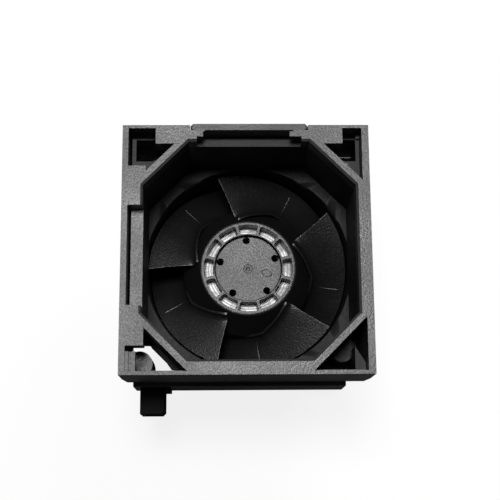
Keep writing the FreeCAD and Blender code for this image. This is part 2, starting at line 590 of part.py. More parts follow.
def make_impeller():
    """Impeller: windowed conical hub with a sunk centre, and swept blades of growing pitch."""
    body = new_body("impeller")
    inner_cone = "(Size.yoke_face_radius + Size.cone_gap)"
    face_low = f"({FAN_FRONT} - Size.hub_face)"
    hub = outline(new_sketch(body, "XZ_Plane"), [
        ("0", DISC_LOW), ("Size.window_inner", DISC_LOW), ("Size.window_inner", face_low),
        ("Size.hub_front_radius - Size.hub_wall", face_low), (inner_cone, YOKE_TOP),
        (YOKE_OUTER, YOKE_SHOULDER), (YOKE_OUTER, "Size.yoke_low"), (HUB_RADIUS, "Size.yoke_low"),
        (HUB_RADIUS, CONE_LOW), ("Size.hub_front_radius", CONE_TOP),
        ("Size.hub_front_radius - Size.cone_top_drop", FAN_FRONT),
        ("Size.recess_radius", FAN_FRONT), ("Size.recess_radius", DISC_TOP), ("0", DISC_TOP)])
    revolve(body, hub)
    window = new_sketch(body, "XZ_Plane", turn="90 + Size.window_angle / 2")
    rectangle(window, "Size.window_inner", "Size.window_outer",
              f"{face_low} - Size.cone_gap", f"{FAN_FRONT} + Size.cone_gap")
    polar(body, revolve(body, window, "Groove", "Size.window_angle"), WINDOW_COUNT)
    add_vents(body, DISC_LOW, "Size.hub_face")
    polar(body, blade_loft(body), BLADE_COUNT)


def add_vents(body, low, thick):
    """Ring of vent holes through the front wall of a rotor piece."""
    vent = circle(new_sketch(body, "XY_Plane", low), "0", "Size.vent_circle", "Size.vent_radius")
    polar(body, pocket(body, vent, thick), BLADE_COUNT)


def blade_loft(body):
    """One blade through radial sections from its leading edge to its trailing edge."""
    slope = f"(({HUB_RADIUS} - Size.hub_front_radius) / ({CONE_TOP} - {CONE_LOW}))"
    lead = f"({FAN_FRONT} - Size.blade_setback)"
    tip = f"({BORE_RADIUS} - Size.tip_gap)"
    sections = []
    for index in range(BLADE_STEPS + 1):
        share = index / BLADE_STEPS
        level = f"({lead} - Size.blade_drop * {share * (0.75 + 0.25 * share)})"
        cone = f"(Size.hub_front_radius + ({CONE_TOP} - {level}) * {slope})"
        root = f"min({cone}, {HUB_RADIUS}) - Size.blade_root"
        thick = f"Size.blade_edge + (Size.blade_middle - Size.blade_edge) * {4 * share * (1 - share)}"
        angle = f"Size.blade_start - Size.blade_wrap * {share}"
        sections.append(radial_section(body, angle, root, tip, level, thick))
    return loft(body, sections)


def make_rotor():
    """Yoke cup, magnet ring, shaft, inner races, spring and retaining ring."""
    face_low = f"({YOKE_TOP} - Size.yoke_wall)"
    collar_end = f"({SLEEVE_TOP} + Size.collar_gap)"
    yoke = turned("rotor_yoke", [
        ("Size.shaft_radius", collar_end), (COLLAR_RADIUS, collar_end), (COLLAR_RADIUS, face_low),
        ("Size.yoke_face_radius - Size.yoke_wall", face_low),
        (MAGNET_OUTER, f"{YOKE_SHOULDER} - Size.yoke_wall / 2"), (MAGNET_OUTER, "Size.yoke_low"),
        (YOKE_OUTER, "Size.yoke_low"), (YOKE_OUTER, YOKE_SHOULDER),
        ("Size.yoke_face_radius", YOKE_TOP), ("Size.shaft_radius", YOKE_TOP)])
    add_vents(yoke, face_low, "Size.yoke_wall")
    ring("rotor_magnet", "Size.core_radius + Size.air_gap", MAGNET_OUTER,
         "Size.magnet_low", "Size.magnet_low + Size.magnet_height")
    shaft_end = f"({DISC_LOW} - Size.shaft_sink)"
    turned("shaft", [
        ("0", "Size.shaft_low"), ("Size.shaft_radius", "Size.shaft_low"),
        ("Size.shaft_radius", shaft_end), ("Size.centre_drill", shaft_end),
        ("0", f"{shaft_end} - Size.centre_drill")])
    race_outer = "(Size.shaft_radius + Size.race_wall)"
    for name, level in (("upper", UPPER_BEARING), ("lower", "Size.lower_bearing_at")):
        race_top = f"{level} + Size.bearing_width"
        ring(f"{name}_inner_race", "Size.shaft_radius", race_outer, level, race_top)
        ring(f"{name}_outer_race", f"{race_outer} + Size.race_gap", "Size.bearing_radius",
             level, race_top)
    upper_top = f"({UPPER_BEARING} + Size.bearing_width)"
    spring_inner = "(Size.shaft_radius + Size.spring_gap)"
    spring_outer = f"({COLLAR_RADIUS} - Size.spring_gap)"
    turned("preload_spring", [
        (spring_inner, upper_top), (f"{spring_inner} + Size.spring_wire", upper_top),
        (spring_outer, collar_end), (f"{spring_outer} - Size.spring_wire", collar_end)])
    ring("retaining_ring", "Size.shaft_radius", "Size.ring_radius",
         "Size.lower_bearing_at - Size.ring_thick", "Size.lower_bearing_at")


def make_stator():
    """Stator stack, insulators, coils, bearing sleeve and driver board."""
    lip_inner = "(Size.bearing_radius - Size.sleeve_lip)"
    lower_end = "(Size.lower_bearing_at + Size.bearing_width)"
    turned("bearing_sleeve", [
        ("Size.bearing_radius", "Size.base_thick"), (SLEEVE_OUTER, "Size.base_thick"),
        (SLEEVE_OUTER, SLEEVE_TOP), ("Size.bearing_radius", SLEEVE_TOP),
        ("Size.bearing_radius", UPPER_BEARING), (lip_inner, UPPER_BEARING),
        (lip_inner, lower_end), ("Size.bearing_radius", lower_end)])
    core = new_body("stator_core")
    ring_outer = f"({SLEEVE_OUTER} + Size.core_ring)"
    shoe_inner = "(Size.core_radius - Size.pole_shoe)"
    profile = circle(new_sketch(core, "XY_Plane", "Size.core_low"), "0", "0", ring_outer)
    pad(core, profile, "Size.core_height")
    polar(core, block(core, "-Size.pole_neck / 2", "Size.pole_neck / 2", SLEEVE_OUTER,
                      shoe_inner, "Size.core_low", "Size.core_height"), POLE_COUNT)
    half_pitch = f"{180 / POLE_COUNT}"
    shoe = rectangle(new_sketch(core, "XZ_Plane", turn=f"90 - {half_pitch} + Size.slot_angle"),
                     shoe_inner, "Size.core_radius", "Size.core_low", CORE_TOP)
    made = revolve(core, shoe, angle=f"({half_pitch} - Size.slot_angle) * 2")
    made.Reversed = True
    polar(core, made, POLE_COUNT)
    bore = circle(new_sketch(core, "XY_Plane", "Size.core_low"), "0", "0", SLEEVE_OUTER)
    pocket(core, bore, "Size.core_height")
    for name, low in (("lower", "(Size.core_low - Size.insulator_thick)"), ("upper", CORE_TOP)):
        insulator = new_body(f"{name}_insulator")
        disc = circle(new_sketch(insulator, "XY_Plane", low), "0", "0", ring_outer)
        pad(insulator, disc, "Size.insulator_thick")
        arm = block(insulator, "-Size.pole_neck / 2", "Size.pole_neck / 2", SLEEVE_OUTER,
                    "Size.core_radius - Size.insulator_inset", low, "Size.insulator_thick")
        polar(insulator, arm, POLE_COUNT)
        hole = circle(new_sketch(insulator, "XY_Plane", low), "0", "0", SLEEVE_OUTER)
        pocket(insulator, hole, "Size.insulator_thick")
    make_coils(ring_outer, shoe_inner)


def make_coils(ring_outer, shoe_inner):
    """One wound coil about each pole neck and its insulators."""
    neck = value("Size.pole_neck / 2")
    build = value("Size.coil_build")
    near = value(f"{ring_outer} + Size.coil_play")
    far = math.sqrt(value(shoe_inner) ** 2 - (neck + build) ** 2) - value("Size.coil_play")
    low = value("Size.core_low - Size.insulator_thick")
    high = value(f"{CORE_TOP} + Size.insulator_thick")
    coils = []
    for index in range(POLE_COUNT):
        corner = Vector(-neck - build, near, low - build)
        wound = Part.makeBox(2 * (neck + build), far - near, high - low + 2 * build, corner)
        wound = wound.makeChamfer(build / 2, [edge for edge in wound.Edges
                                              if abs(edge.tangentAt(edge.FirstParameter).y) > 0.9])
        core = Part.makeBox(2 * neck, far - near, high - low, Vector(-neck, near, low))
        coil = wound.cut(core)
        coil.rotate(Vector(), Vector(0, 0, 1), 360 / POLE_COUNT * index)
        coils.append(coil)
    compound_of("stator_coils", coils)


def make_board():
    """Driver board on the seat of the motor base, with its parts."""
    board_top = "(Size.seat_height + Size.board_thick)"
    ring("circuit_board", f"{SLEEVE_OUTER} + Size.board_play", BOARD_RADIUS,
         "Size.seat_height", board_top)
    block(new_body("driver_chip"), "Size.chip_near", "Size.chip_near + Size.chip_length",
          "-Size.chip_half", "Size.chip_half", board_top, "Size.chip_height")
    block(new_body("hall_sensor"), "-Size.sensor_half", "Size.sensor_half", "Size.sensor_near",
          "Size.sensor_near + Size.sensor_length", board_top, "Size.sensor_height")
    body = new_body("filter_capacitor")
    can = circle(new_sketch(body, "XY_Plane", board_top), "-Size.can_centre", "0", "Size.can_radius")
    pad(body, can, "Size.can_height")


def make_fasteners():
    """Fan screws in their sinks, isolating washers and the bracket screw."""
    thick = value("Size.washer_thick")
    seat = value(f"{FAN_FRONT} - Size.flange_depth + Size.sink_depth") - thick
    length = value(f"{FAN_FRONT} + Size.screw_grip") - seat
    screws = []
    washers = []
    for across, up in FAN_HOLES:
        at = Vector(value(across), value(up), seat)
        screws.append(screw_at(at, length))
        washer = Part.makeCylinder(value("Size.washer_radius"), thick, at)
        washers.append(washer.cut(Part.makeCylinder(value("Size.screw_radius"), thick, at)))
    compound_of("fan_screws", screws)
    compound_of("isolating_washers", washers)
    lug_seat = Vector(value(LUG_X), value(LUG_Y), value(f"{FAN_FRONT} - Size.lug_thick"))
    compound_of("bracket_screw", [screw_at(lug_seat, value("Size.lug_thick + Size.screw_grip"))])


def screw_at(seat, length):
    """Cheese-head screw that drives along +Z from the seat of its head."""
    drop = value("Size.screw_head")
    shank = Part.makeCylinder(value("Size.pilot_radius"), length, seat)
    head = Part.makeCylinder(value("Size.screw_head_radius"), drop, seat - Vector(0, 0, drop))
    return shank.fuse(head)


def make_bracket():
    """Tray under the fan that carries the connector, with its screw lug."""
    body = new_body("connector_bracket")
    low_z = f"({FAN_FRONT} - Size.bracket_depth)"
    depth = "(Size.bracket_depth - Size.seat_gap)"
    right = f"({FAN_HALF} - Size.bracket_right)"
    high = f"(-{FAN_HALF} - Size.bracket_gap)"
    block(body, BRACKET_LEFT, right, BRACKET_LOW, high, low_z, depth)
    trough = rectangle(new_sketch(body, "XY_Plane", f"{low_z} + Size.bracket_wall"),
                       f"{BRACKET_LEFT} + Size.bracket_wall", f"{right} - Size.bracket_wall",
                       f"{BRACKET_LOW} + Size.bracket_wall", f"{high} + 1")
    pocket(body, trough, f"{depth} - Size.bracket_wall * 2")
    lug_low = f"({FAN_FRONT} - Size.lug_thick)"
    access = circle(new_sketch(body, "XY_Plane", low_z), LUG_X, LUG_Y,
                    "Size.screw_head_radius + Size.handle_gap")
    pocket(body, access, f"{lug_low} - {low_z}")
    lug = circle(new_sketch(body, "XY_Plane", lug_low), LUG_X, LUG_Y,
                 "Size.boss_radius - Size.seat_gap")
    pad(body, lug, "Size.lug_thick - Size.seat_gap")
    hole = circle(new_sketch(body, "XY_Plane", lug_low), LUG_X, LUG_Y, "Size.screw_radius")
    pocket(body, hole, "Size.lug_thick")


def make_connector():
    """Blind-mate connector block with its contacts."""
    body = new_body("connector_housing")
    low_z = f"({FAN_FRONT} - Size.bracket_depth / 2 - Size.plug_depth / 2)"
    left = f"({BRACKET_LEFT} + Size.plug_inset)"
    right = f"({left} + Size.plug_width)"
    low = f"({BRACKET_LOW} - Size.plug_reach)"
    step = f"({BRACKET_LOW} - Size.step_drop)"
    block_sketch = outline(new_sketch(body, "XY_Plane", low_z), [
        (left, low), (f"{right} - Size.plug_chamfer", low), (right, f"{low} + Size.plug_chamfer"),
        (right, step), (f"{right} + Size.step_width", step),
        (f"{right} + Size.step_width", BRACKET_LOW), (left, BRACKET_LOW)])
    pad(body, block_sketch, "Size.plug_depth")
    centre = f"({left} + Size.plug_width / 2)"
    middle = f"({low_z} + Size.plug_depth / 2)"
    contacts = []
    for index in range(CONTACT_COUNT):
        level = f"({middle} + Size.contact_pitch * {index - (CONTACT_COUNT - 1) / 2})"
        cavity = rectangle(new_sketch(body, "XZ_Plane"), f"{centre} - Size.cavity_half",
                           f"{centre} + Size.cavity_half", f"{level} - Size.cavity_thick / 2",
                           f"{level} + Size.cavity_thick / 2")
        cavity.setExpression("AttachmentOffset.Base.z", f"-{low}")
        pocket(body, cavity, "Size.cavity_depth", along_normal=False)
        corner = Vector(value(f"{centre} - Size.contact_width / 2"),
                        value(f"{low} + Size.contact_inset"),
                        value(f"{level} - Size.contact_thick / 2"))
        contacts.append(Part.makeBox(
            value("Size.contact_width"), value("Size.cavity_depth - Size.contact_inset"),
            value("Size.contact_thick"), corner))
    compound_of("connector_contacts", contacts)


FAN_HOLES = [(f"-{HOLE_AT}", HOLE_AT), (HOLE_AT, HOLE_AT), (HOLE_AT, f"-{HOLE_AT}")]
BLADE_COUNT = 5
BLADE_STEPS = 6
WINDOW_COUNT = 12
VANE_COUNT = 7
POLE_COUNT = 6
CONTACT_COUNT = 4


def check_and_export():
    """Recompute, refuse any failed object or shape, and write one STEP file for each node."""
    doc.recompute()
    for item in doc.Objects:
        if "Invalid" in item.State or "Error" in item.State:
            raise RuntimeError(f"{item.Label} failed: {item.State}")
    os.makedirs("parts", exist_ok=True)
    for part in PARTS:
        shape = part.Shape
        if shape.isNull() or not shape.isValid():
            raise RuntimeError(f"{part.Label} has no valid shape")
        shape.exportStep(f"parts/{part.Label}.step")
        print(f"{part.Label}: {len(shape.Solids)} solids, {shape.Volume:.1f} mm3")


for make in (make_intake_bezel, make_intake_duct, make_pull_handle, make_handle_pins,
             make_fan_frame, make_impeller, make_rotor, make_stator, make_board,
             make_fasteners, make_bracket, make_connector):
    make()
check_and_export()
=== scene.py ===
import json
import math
import bpy
from mathutils import Matrix, Vector


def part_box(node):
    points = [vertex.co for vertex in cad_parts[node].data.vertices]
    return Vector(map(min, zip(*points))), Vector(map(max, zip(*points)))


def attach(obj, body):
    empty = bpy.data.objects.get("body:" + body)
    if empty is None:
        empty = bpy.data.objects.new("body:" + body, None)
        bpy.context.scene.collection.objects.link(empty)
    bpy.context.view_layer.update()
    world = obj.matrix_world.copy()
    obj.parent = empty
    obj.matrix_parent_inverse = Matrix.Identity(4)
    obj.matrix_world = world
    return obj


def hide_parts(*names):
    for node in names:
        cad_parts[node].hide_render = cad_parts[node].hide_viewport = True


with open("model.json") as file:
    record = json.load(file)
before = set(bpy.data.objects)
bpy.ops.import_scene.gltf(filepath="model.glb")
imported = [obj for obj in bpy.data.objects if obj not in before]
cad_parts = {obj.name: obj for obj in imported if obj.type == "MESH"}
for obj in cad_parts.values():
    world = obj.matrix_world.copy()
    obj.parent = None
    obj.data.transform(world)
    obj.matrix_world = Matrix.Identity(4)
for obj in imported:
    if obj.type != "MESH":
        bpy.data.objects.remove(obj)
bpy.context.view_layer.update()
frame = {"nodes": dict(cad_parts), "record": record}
NODES = frame["nodes"]
SLOTS = {row["node"]: row["material_slot"] for row in frame["record"]["subparts"]}
MM = 0.001


# --- selecting and shaping ---------------------------------------------------

DOUBLES = 2e-6
ROUNDED_ABOVE = 28


def deselect_all():
    """Nothing selected and no edit mode left on."""
    if bpy.context.object and bpy.context.object.mode != "OBJECT":
        bpy.ops.object.mode_set(mode="OBJECT")
    bpy.ops.object.select_all(action="DESELECT")


def make_active(piece):
    """Only this piece selected and active."""
    deselect_all()
    piece.select_set(True)
    bpy.context.view_layer.objects.active = piece


def apply_modifier(piece, kind, **settings):
    """Add a modifier, set it and apply it."""
    make_active(piece)
    modifier = piece.modifiers.new(kind.lower(), kind)
    for name, setting in settings.items():
        setattr(modifier, name, setting)
    bpy.ops.object.modifier_apply(modifier=modifier.name)


def edit_all(piece):
    """Edit mode with everything selected."""
    make_active(piece)
    bpy.ops.object.mode_set(mode="EDIT")
    bpy.ops.mesh.select_all(action="SELECT")


def leave_edit():
    """Back to object mode."""
    bpy.ops.object.mode_set(mode="OBJECT")


def smooth_by_angle(piece, degrees):
    """Smooth shading that keeps edges sharper than an angle."""
    make_active(piece)
    bpy.ops.object.shade_smooth_by_angle(angle=math.radians(degrees))


def even_normals(piece, degrees):
    """Flat faces shade flat and only the rounded edges between them turn."""
    smooth_by_angle(piece, degrees)
    apply_modifier(piece, "WEIGHTED_NORMAL", mode="FACE_AREA", weight=100, keep_sharp=True)


def settle(piece):
    """Move the piece's place into its mesh, so that its object sits at the origin."""
    make_active(piece)
    bpy.ops.object.transform_apply(location=True, rotation=True, scale=True)


def add_object(name, data):
    """Object in the scene for a mesh, a camera or a light."""
    added = bpy.data.objects.new(name, data)
    bpy.context.scene.collection.objects.link(added)
    return added


def new_mesh(name, points, edges=(), faces=()):
    """Object made from points, edges and faces."""
    mesh = bpy.data.meshes.new(name)
    mesh.from_pydata([tuple(point) for point in points], list(edges), [tuple(f) for f in faces])
    mesh.update()
    return add_object(name, mesh)


def outward(piece):
    """Faces turned outwards after doubles are merged."""
    edit_all(piece)
    bpy.ops.mesh.remove_doubles(threshold=1e-7)
    bpy.ops.mesh.normals_make_consistent(inside=False)
    leave_edit()


def solid(name, points, faces):
    """Closed piece from points and faces."""
    piece = new_mesh(name, points, faces=faces)
    outward(piece)
    return piece


def wall_faces(rows, size):
    """Faces between rows of points, where each row closes on itself."""
    return [(row * size + i, row * size + (i + 1) % size,
             (row + 1) * size + (i + 1) % size, (row + 1) * size + i)
            for row in range(rows) for i in range(size)]


def join(pieces, name):
    """Several pieces made one."""
    make_active(pieces[0])
    for piece in pieces:
        piece.select_set(True)
    bpy.ops.object.join()
    pieces[0].name = name
    return pieces[0]


def merged_copy(node, name):
    """Copy of a construction piece with its doubled points merged."""
    piece = add_object(name, NODES[node].data.copy())
    edit_all(piece)
    bpy.ops.mesh.remove_doubles(threshold=DOUBLES)
    leave_edit()
    return piece


def rounded_copy(node, width, added=()):
    """Copy of a construction piece with its edges rounded as a mould leaves them."""
    piece = merged_copy(node, node + "_moulded")
    apply_modifier(piece, "BEVEL", width=width, segments=2, limit_method="ANGLE",
                   angle_limit=math.radians(ROUNDED_ABOVE), use_clamp_overlap=True,
                   loop_slide=True, miter_outer="MITER_ARC")
    if added:
        join([piece, *added], piece.name)
    even_normals(piece, 40)
    return piece


def smooth_copy(node):
    """Copy of a round construction piece with its facets shaded smooth."""
    piece = merged_copy(node, node + "_turned")
    even_normals(piece, 32)
    return piece


def dress(piece, slot, body):
    """Finish a new piece: the material of its record slot, and the body that carries it."""
    piece.data.materials.clear()
    piece.data.materials.append(MATERIALS[slot])
    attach(piece, body)


def replace_with(piece, node, body):
    """A dressed piece stands for a construction piece."""
    dress(piece, SLOTS[node], body)
    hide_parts(node)


# --- housing -----------------------------------------------------------------
# Outlines and heights are in millimetres.

EDGE_ROUND = 0.0002
BEZEL_ROUND = 0.00022
HANDLE_SPREAD = 1.012
TAB_SPANS = ((-15.2, -12.4), (10.9, 15.2))
TAB_LOW_Y, TAB_HIGH_Y = 30.6, 32.0
TAB_HEIGHTS = (62.8, 63.93)
LIP_OUTLINE = ((-32.2, 29.6), (-24.0, 29.6), (-24.0, 32.6), (-32.2, 32.6))
LIP_HEIGHTS = (38.2, 39.8)
WEB_OUTLINE = ((-29.6, -16.5), (-29.6, -23.1), (-27.7, -23.1), (-25.9, -23.4),
               (-21.3, -29.8), (-19.0, -29.8), (-26.5, -20.5))
WEB_HEIGHTS = (43.0, 44.2)
GRIP_MAX_X = -28.5
GRIP_MIN_Z = 55
GRIP_FACES_Y = (-15.3, 11.8)
GRIP_SKIN_Y = (-15.2, 11.65)
GRIP_SKIN = (-0.02, 0.03)


def plate(name, outline, low, high):
    """Flat plate from an outline."""
    count = len(outline)
    points = [Vector((x, y, z)) * MM for z in (low, high) for x, y in outline]
    caps = [tuple(reversed(range(count))), tuple(range(count, 2 * count))]
    return solid(name, points, caps + wall_faces(1, count))


def make_bezel():
    """Intake bezel with softened edges and the two tabs beside the pull handle."""
    tabs = [plate("tab", [(left, TAB_LOW_Y), (right, TAB_LOW_Y),
                          (right, TAB_HIGH_Y), (left, TAB_HIGH_Y)], *TAB_HEIGHTS)
            for left, right in TAB_SPANS]
    return rounded_copy("intake_bezel", BEZEL_ROUND, added=tabs)


def make_duct():
    """Intake duct with softened edges, its flange lip and its lower left web."""
    lip = plate("flange_lip", LIP_OUTLINE, *LIP_HEIGHTS)
    web = plate("lower_left_web", WEB_OUTLINE, *WEB_HEIGHTS)
    return rounded_copy("intake_duct", EDGE_ROUND, added=[lip, web])


def make_side_grip(duct):
    """Textured face of the side grip, a thin skin on the duct's flange."""
    corners = []
    for face in duct.data.polygons:
        middle = face.center / MM
        if (face.normal.z > 0.98 and middle.x < GRIP_MAX_X and middle.z > GRIP_MIN_Z
                and GRIP_FACES_Y[0] < middle.y < GRIP_FACES_Y[1]):
            corners += [duct.data.vertices[index].co / MM for index in face.vertices]
    left, right = min(c.x for c in corners), max(c.x for c in corners)
    low = max(min(c.y for c in corners), GRIP_SKIN_Y[0])
    high = min(max(c.y for c in corners), GRIP_SKIN_Y[1])
    top = max(c.z for c in corners)
    return plate("side_grip_face", [(left, low), (right, low), (right, high), (left, high)],
                 top + GRIP_SKIN[0], top + GRIP_SKIN[1])


def make_handle():
    """Pull handle with softened edges, run close to the sides of its notch."""
    handle = rounded_copy("pull_handle", EDGE_ROUND)
    low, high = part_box("pull_handle")
    edit_all(handle)
    bpy.ops.transform.resize(value=(HANDLE_SPREAD, 1, 1),
                             center_override=((low[0] + high[0]) / 2, 0, 0))
    leave_edit()
    return handle


# --- impeller ----------------------------------------------------------------
# Radii and heights are in millimetres and angles in degrees.

FACE_Z = 38.0
DISC_Z = 36.4
HUB_FRONT = 14.0
HUB_RADIUS = 18.9
CONE_TOP_Z = 37.4
CONE_LOW_Z = 30.0

# Half section of the hub from the dimple at its centre, over the disc, the raised
# ring and the cone, down the outside and back up the inside. Points that stand close
# together hold the shading of the flat beside them.
HUB_SECTION = (
    (0, 35.9), (0.3, 35.92), (0.48, 36.1), (0.52, 36.32), (0.66, 36.34), (0.95, 36.34),
    (1.05, 36.24), (1.25, 36.24), (1.38, DISC_Z), (1.45, DISC_Z), (9.2, DISC_Z), (9.25, DISC_Z),
    (9.45, 36.46), (9.56, 36.62), (9.6, 36.85), (9.6, 37.78), (9.64, 37.9),
    (9.74, FACE_Z), (9.79, FACE_Z), (13.15, FACE_Z), (13.2, FACE_Z), (13.5, 37.96),
    (13.76, 37.86), (13.95, 37.7), (14.08, 37.46), (14.15, 37.355), (18.48, 30.855),
    (18.55, 30.75), (18.75, 30.4), (18.87, 30.0), (HUB_RADIUS, 29.6), (HUB_RADIUS, 8.4),
    (18.7, 8.2), (17.2, 8.2), (17.2, 29.4), (14.55, 34.2), (14.2, 34.6), (0, 34.6))

WINDOWS = 12
WINDOW_INNER = 10.05
WINDOW_OUTER = 12.6
WINDOW_SPOKE = 0.9
WINDOW_CORNER = 0.5
WINDOW_FLARE = 0.1
WINDOW_DRAFT = 0.2
CUT_LOW_Z = 34.3
VENT_CIRCLE = 8.3
VENT_STEPS = 40
VENT_FLARE = 0.06
VENT_TURN = 3.6

BLADES = 5
TIP_RADIUS = 28.5
BLADE_TOP_Z = FACE_Z - 1.8
BLADE_DROP = 18.5
BLADE_EASE = 0.06
BLADE_START = 103.5
BLADE_SWEEP = 88.0
BLADE_EXTRA_SWEEP = 1.5
BLADE_LEAN = 4.5
BLADE_SUNK = 0.6
EDGE_HALF = 0.05
BELLY_HALF = 0.66
NOSE_SHARE = 0.003
ROOT_FLARE = 1.5
ROOT_ENDS = 0.02
ROOT_FLAT = 1.0
ROOT_REACH = 2.2

MOULD_LINE_SHARE = 43.0 / 89.5
MOULD_LINE_ROWS = 24
MOULD_LINE_SECTION = ((-0.006, -0.02), (0.0, 0.08), (0.006, -0.02))
GATE_CENTRE = (5.3, -1.3)
GATE_RADII = (1.5, 1.05)
GATE_TURN = -17
GATE_STEPS = 48
GATE_SECTION = ((1.0, -0.05), (1.0, 0.04), (0.95, 0.1), (0.86, 0.04), (0.8, 0.04), (0.0, 0.04))


def on_circle(radius, degrees, height):
    """Point on a circle about the fan axis; millimetres in, metres out."""
    turn = math.radians(degrees)
    return Vector((radius * math.cos(turn), radius * math.sin(turn), height)) * MM


def spun(name, section, steps=180):
    """Closed ring of revolution from a half section."""
    points = [Vector((radius, 0, height)) * MM for radius, height in section]
    piece = new_mesh(name, points, [(i, i + 1) for i in range(len(points) - 1)])
    edit_all(piece)
    bpy.ops.mesh.spin(steps=steps, angle=math.tau, center=(0, 0, 0), axis=(0, 0, 1))
    leave_edit()
    outward(piece)
    return piece


def widened(outline, amount):
    """Outline moved outwards by an amount."""
    wide = []
    for i, (x, y) in enumerate(outline):
        back, ahead = outline[i - 1], outline[(i + 1) % len(outline)]
        side = Vector((ahead[1] - back[1], back[0] - ahead[0])).normalized()
        wide.append((x + side.x * amount, y + side.y * amount))
    return wide


def rim_cutter(name, outline, high, flare, draft=0.0):
    """Plug with a flared top and drafted sides, which leaves a softened rim where it cuts."""
    count = len(outline)
    rings = ((widened(outline, -draft), CUT_LOW_Z), (outline, high - flare),
             (widened(outline, 2 * flare), high + flare))
    points = [Vector((x, y, z)) * MM for ring, z in rings for x, y in ring]
    caps = [tuple(reversed(range(count))), tuple(range(2 * count, 3 * count))]
    return solid(name, points, caps + wall_faces(2, count))


def round_corner(corner, before, after, radius, steps=5):
    """Points that round one corner of an outline."""
    corner, before, after = Vector(corner), Vector(before), Vector(after)
    start = corner + (before - corner).normalized() * radius
    end = corner + (after - corner).normalized() * radius
    points = []
    for i in range(steps + 1):
        share = i / steps
        points.append(start * (1 - share) ** 2 + corner * 2 * share * (1 - share)
                      + end * share ** 2)
    return [tuple(point) for point in points]


def window_outline(middle):
    """Ring-shaped window between two spokes, with rounded corners."""
    inner, outer, corner = WINDOW_INNER, WINDOW_OUTER, WINDOW_CORNER
    half = {r: 180 / WINDOWS - math.degrees(math.asin(WINDOW_SPOKE / 2 / r))
            for r in (inner, outer)}

    def at(radius, degrees):
        turn = math.radians(middle + degrees)
        return (radius * math.cos(turn), radius * math.sin(turn))

    def arc(radius, start, end, steps=12):
        inset = math.degrees(corner / radius) * (1 if end > start else -1)
        first, last = start + inset, end - inset
        return [at(radius, first + (last - first) * i / steps) for i in range(1, steps)]

    low_right, high_right = at(inner, -half[inner]), at(outer, -half[outer])
    low_left, high_left = at(inner, half[inner]), at(outer, half[outer])
    inner_arc = arc(inner, half[inner], -half[inner])
    outer_arc = arc(outer, -half[outer], half[outer])
    return (round_corner(low_right, inner_arc[-1], high_right, corner)
            + round_corner(high_right, low_right, outer_arc[0], corner)
            + outer_arc
            + round_corner(high_left, outer_arc[-1], low_left, corner)
            + round_corner(low_left, high_left, inner_arc[0], corner)
            + inner_arc)


def vent_outline(k):
    """Round vent of one millimetre radius between the hub's centre and its windows."""
    turn = math.radians(VENT_TURN + 90 + 360 / BLADES * k)
    x, y = VENT_CIRCLE * math.cos(turn), VENT_CIRCLE * math.sin(turn)
    return [(x + math.cos(math.tau * i / VENT_STEPS), y + math.sin(math.tau * i / VENT_STEPS))
            for i in range(VENT_STEPS)]


def cut(piece, cutters):
    """Take the cutters out of a piece."""
    tool = join(cutters, "tool")
    apply_modifier(piece, "BOOLEAN", operation="DIFFERENCE", solver="EXACT", object=tool)
    bpy.data.objects.remove(tool)


def make_hub():
    """Conical hub with a ring of windows round a sunk centre disc."""
    hub = spun("impeller_hub", HUB_SECTION)
    cutters = [rim_cutter(f"window_{k}", window_outline(360 / WINDOWS * k), FACE_Z,
                          WINDOW_FLARE, WINDOW_DRAFT) for k in range(WINDOWS)]
    cutters += [rim_cutter(f"vent_{k}", vent_outline(k), DISC_Z, VENT_FLARE)
                for k in range(BLADES)]
    cut(hub, cutters)
    return hub


def blade_height(share, near=0.0):
    """Height of the middle of a blade along its chord, eased flat by the hub's front."""
    eased = share - near * BLADE_EASE * (1 - math.exp(-share / BLADE_EASE))
    return BLADE_TOP_Z - BLADE_DROP * eased * (0.75 + 0.25 * eased)


def hub_radius_at(height):
    """Radius of the hub's outside at a height."""
    slope = (HUB_RADIUS - HUB_FRONT) / (CONE_TOP_Z - CONE_LOW_Z)
    return min(max(HUB_FRONT + (CONE_TOP_Z - height) * slope, HUB_FRONT), HUB_RADIUS)


def blade_half(share, out):
    """Half of a blade's thickness, with round noses and a flared root."""
    half = EDGE_HALF + BELLY_HALF * 4 * share * (1 - share)
    for edge in (share, 1 - share):
        if edge < NOSE_SHARE:
            half *= math.sqrt(max(1 - (1 - edge / NOSE_SHARE) ** 2, 0.0))
    if out < ROOT_FLARE:
        fillet = ROOT_FLARE - math.sqrt(ROOT_FLARE ** 2 - (ROOT_FLARE - out) ** 2)
        half += fillet * min(1.0, min(share, 1 - share) / ROOT_ENDS)
    return half


def blade_point(share, across, side):
    """Point of a blade's skin: along the chord, out from the hub, and above or below."""
    hub = hub_radius_at(blade_height(share))
    radius = hub - BLADE_SUNK + (TIP_RADIUS - hub + BLADE_SUNK) * across
    near = math.exp(-max(radius - hub - ROOT_FLAT, 0.0) / ROOT_REACH)
    height = blade_height(share, near)
    lean = BLADE_LEAN * (1 - share) ** 2 * (radius - HUB_FRONT) / (TIP_RADIUS - HUB_FRONT)
    sweep = (BLADE_SWEEP + BLADE_EXTRA_SWEEP * (1 - share)) * share
    step = 1e-3
    run = -math.radians(BLADE_SWEEP) * radius * step
    rise = blade_height(share + step, near) - height
    length = math.hypot(run, rise)
    half = blade_half(share, max(radius - hub, 0.0))
    move_s, move_z = -rise / length * side * half, run / length * side * half
    if move_z * side < 0:
        move_s, move_z = -move_s, -move_z
    degrees = BLADE_START + lean - sweep + math.degrees(move_s / radius)
    return on_circle(radius, degrees, height + move_z)


